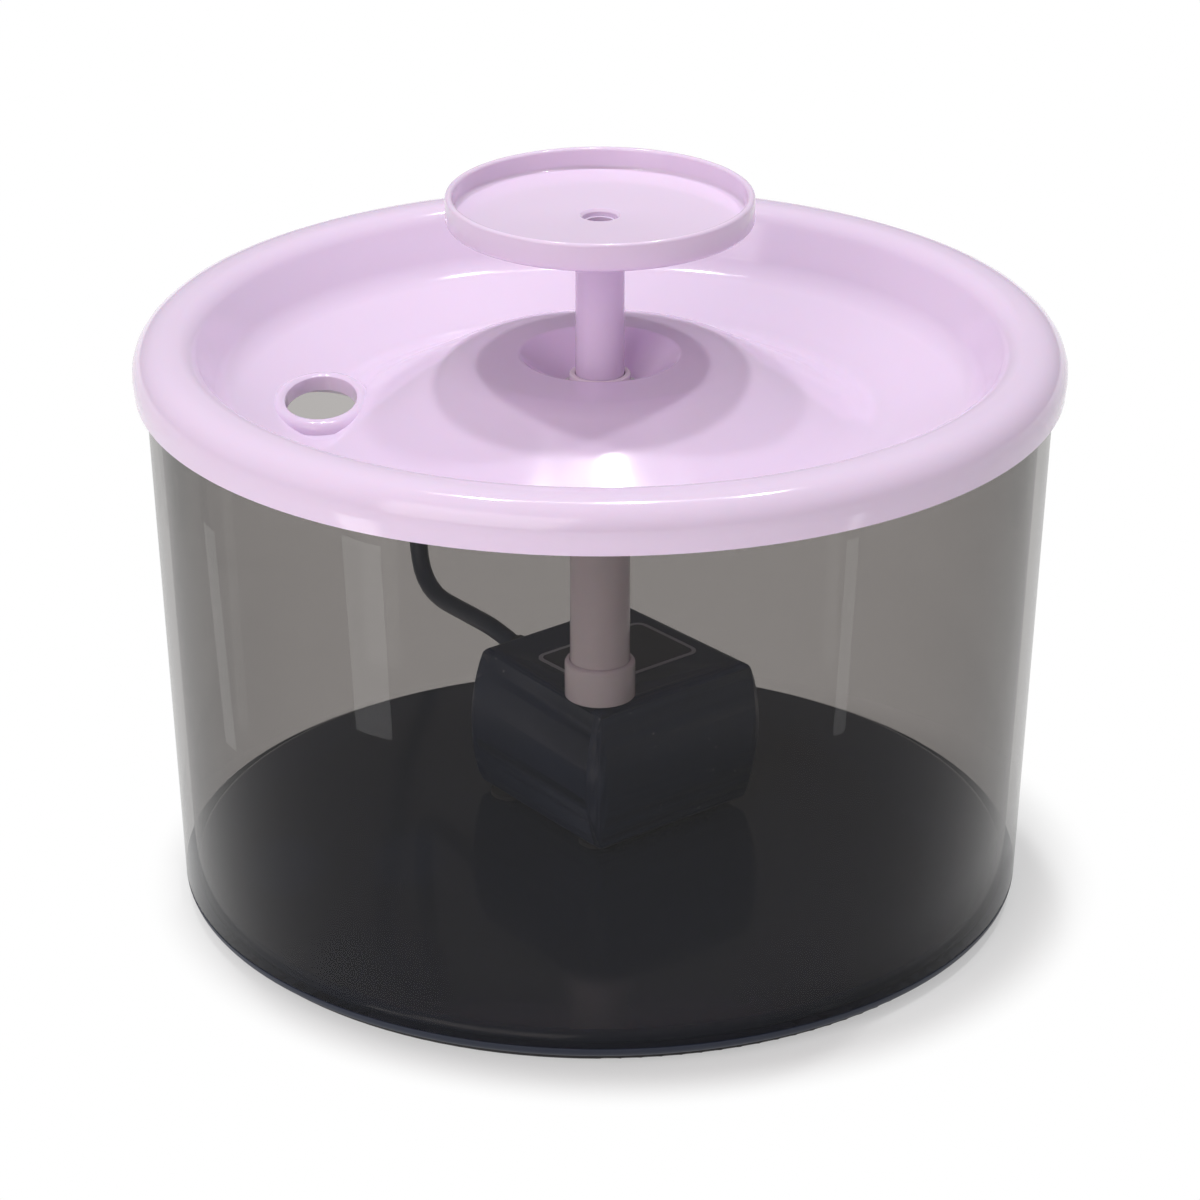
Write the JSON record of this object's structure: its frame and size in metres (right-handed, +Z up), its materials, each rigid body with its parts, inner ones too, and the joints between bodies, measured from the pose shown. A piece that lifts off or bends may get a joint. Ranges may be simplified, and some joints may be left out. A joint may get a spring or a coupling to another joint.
{
  "type": "pet water fountain",
  "caption": "Round pet water fountain with a clear tank, a rimmed lid with a trough, a raised drinking dish on a stem and a small pump inside.",
  "frame": {"origin": "centre of the underside, on the surface that the fountain stands on", "axes": "+Z up through the riser and dish, +Y away from the viewer, towards the side where the cord leaves"},
  "size_m": [0.1896, 0.3645, 0.1501],
  "materials": {
    "clear_tank": "clear smoky plastic",
    "black_base": "gloss",
    "rubber": "matt",
    "lilac_plastic": "gloss",
    "pump_black": "satin",
    "ceramic": "smooth ceramic",
    "impeller_white": "satin",
    "magnet": "matt ferrite",
    "core_steel": "laminated",
    "copper_wire": "enamelled copper",
    "board_green": "solder mask",
    "cord_black": "satin PVC",
    "plug_steel": "nickel plated",
    "contact_gold": "gold plated"
  },
  "bodies": {
    "tank": {"base_plate": "black_base", "chamber_plate": "pump_black", "chamber_seal": "rubber", "cord_coil": "cord_black", "cord_gland": "rubber", "driver_board": "board_green", "foot_ring": "rubber", "front_shaft_bush": "rubber", "motor_winding": "copper_wire", "plug_body": "cord_black", "plug_contact_1": "contact_gold", "plug_contact_2": "contact_gold", "plug_contact_3": "contact_gold", "plug_contact_4": "contact_gold", "plug_lead": "cord_black", "plug_shell": "plug_steel", "plug_tongue": "impeller_white", "pump_cord": "cord_black", "pump_foot_1": "rubber", "pump_foot_2": "rubber", "pump_foot_3": "rubber", "pump_foot_4": "rubber", "pump_housing": "pump_black", "pump_outlet_collar": "lilac_plastic", "pump_rear_cover": "pump_black", "rear_shaft_bush": "rubber", "rotor_shaft": "ceramic", "stator_core": "core_steel", "tank_wall": "clear_tank", "winding_bobbin": "impeller_white"},
    "lid": {"lid": "lilac_plastic"},
    "dish": {"fountain_dish": "lilac_plastic", "fountain_stem": "lilac_plastic", "riser_tube": "lilac_plastic"},
    "rotor": {"impeller": "impeller_white", "rotor_magnet": "magnet"},
    "cover": {"pump_front_cover": "pump_black"}
  },
  "joints": [
    {"name": "lid_lift", "type": "slide", "parent": "tank", "child": "lid", "axis": [0, 0, 1], "range_m": [0, 0.08]},
    {"name": "dish_pull", "type": "slide", "parent": "lid", "child": "dish", "axis": [0, 0, 1], "range_m": [0, 0.045]},
    {"name": "rotor_spin", "type": "hinge", "parent": "tank", "child": "rotor", "pos_m": [0.00785, 0.00958, 0.0225], "axis": [-0.6361, 0.7716, 0], "continuous": true},
    {"name": "cover_pull", "type": "slide", "parent": "tank", "child": "cover", "axis": [0.6361, -0.7716, 0], "range_m": [0, 0.012]}
  ]
}
